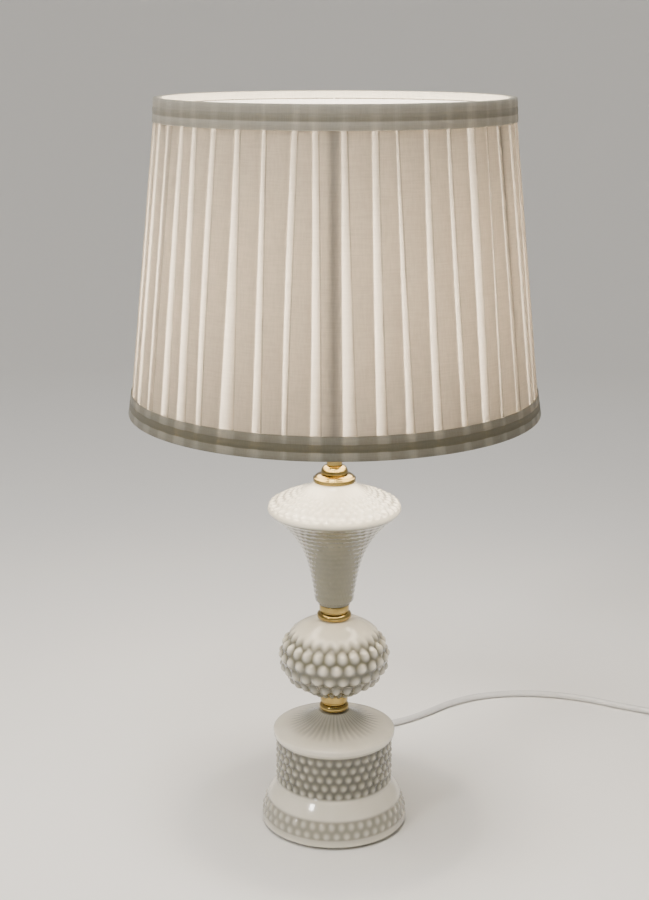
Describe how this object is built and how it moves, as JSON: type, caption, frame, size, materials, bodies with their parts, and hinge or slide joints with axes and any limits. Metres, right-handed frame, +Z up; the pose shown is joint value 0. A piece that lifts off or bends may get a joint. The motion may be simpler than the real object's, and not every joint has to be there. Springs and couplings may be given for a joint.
{
  "type": "table lamp",
  "caption": "Table lamp with a turned ceramic column in raised dots, brass collars, a pleated drum shade on a wire frame, and a mains cord with switch and plug.",
  "frame": {"origin": "centre of the foot on the standing surface, on the lamp's axis", "axes": "+Z up along the column, front along -Y, cord leaves the foot along +Y"},
  "size_m": [0.6345, 0.424, 0.6137],
  "materials": {
    "ceramic_glaze": "glossy cream glaze over raised dots",
    "brass": "polished",
    "steel": "zinc plated",
    "felt": "short grey felt",
    "holder_plastic": "satin white moulding",
    "porcelain": "white unglazed to satin",
    "washer_plastic": "natural fibre",
    "opal_glass": "opal white, lit",
    "wire": "white enamel",
    "pleated_fabric": "ivory knife-pleated cloth, translucent",
    "lining": "white lining",
    "ribbon": "satin ribbed ribbon",
    "cord_jacket": "pale grey smooth jacket",
    "grey_rubber": "pale grey moulded",
    "switch_plastic": "white fine texture",
    "rocker_plastic": "light grey"
  },
  "bodies": {
    "root": {"base_shell": "ceramic_glaze", "felt_pad": "felt", "rod_washer": "steel", "rod_nut": "steel", "threaded_rod": "steel", "lower_collar": "brass", "ball": "ceramic_glaze", "upper_collar": "brass", "trumpet": "ceramic_glaze", "cap_disc": "brass", "cap_dome": "brass", "neck_tube": "brass", "holder_cap": "holder_plastic", "holder_body": "holder_plastic", "holder_insert": "porcelain", "holder_liner": "porcelain", "screw_socket": "brass", "centre_contact": "brass", "strain_relief": "grey_rubber", "inner_cable": "cord_jacket", "cord_run": "cord_jacket", "cord_lead": "cord_jacket", "cord_coil": "cord_jacket", "cord_tail": "cord_jacket", "switch_lower": "switch_plastic", "switch_upper": "switch_plastic", "rocker_pin": "steel", "plug_sleeve": "grey_rubber", "plug_body": "switch_plastic", "plug_pin_left": "steel", "plug_pin_right": "steel"},
    "switch_rocker": {"switch_rocker": "rocker_plastic"},
    "bulb_foot": {"bulb_contact": "steel"},
    "bulb": {"bulb_insulator": "porcelain", "bulb_screw": "steel", "bulb_collar": "holder_plastic", "bulb_glass": "opal_glass", "bulb_led_board": "porcelain"},
    "shade_seat": {"seat_washer": "washer_plastic"},
    "shade": {"fitter_ring": "wire", "fitter_arm_1": "wire", "fitter_arm_2": "wire", "fitter_arm_3": "wire", "bottom_ring": "wire", "top_ring": "wire", "strut_1": "wire", "strut_2": "wire", "strut_3": "wire", "strut_4": "wire", "strut_5": "wire", "strut_6": "wire", "shade_cover": "pleated_fabric", "shade_lining": "lining", "bottom_trim": "ribbon", "top_trim": "ribbon"},
    "ring_washer": {"clamp_washer": "washer_plastic"},
    "shade_ring": {"shade_ring": "brass"}
  },
  "joints": [
    {"name": "switch_rock", "type": "hinge", "parent": "root", "child": "switch_rocker", "pos_m": [0.36777, 0.18154, 0.0151], "axis": [-0.5, -0.866, 0], "range_deg": [0, 16]},
    {"name": "bulb_travel", "type": "slide", "parent": "root", "child": "bulb_foot", "axis": [0, 0, 1], "range_m": [0, 0.0128]},
    {"name": "bulb_unscrew", "type": "hinge", "parent": "bulb_foot", "child": "bulb", "pos_m": [0, 0, 0.39], "axis": [0, 0, 1], "range_deg": [0, 1260]},
    {"name": "shade_turn", "type": "hinge", "parent": "root", "child": "shade_seat", "pos_m": [0, 0, 0.37], "axis": [0, 0, 1], "continuous": true},
    {"name": "shade_lift", "type": "slide", "parent": "shade_seat", "child": "shade", "axis": [0, 0, 1], "range_m": [0, 0.15]},
    {"name": "ring_travel", "type": "slide", "parent": "shade", "child": "ring_washer", "axis": [0, 0, 1], "range_m": [0, 0.0051]},
    {"name": "ring_unscrew", "type": "hinge", "parent": "ring_washer", "child": "shade_ring", "pos_m": [0, 0, 0.38], "axis": [0, 0, 1], "range_deg": [0, 720]}
  ],
  "couplings": [
    {"joint": "bulb_travel", "follows": "bulb_unscrew", "m_per_rad": 0.00057773},
    {"joint": "ring_travel", "follows": "ring_unscrew", "m_per_rad": 0.00039789}
  ]
}
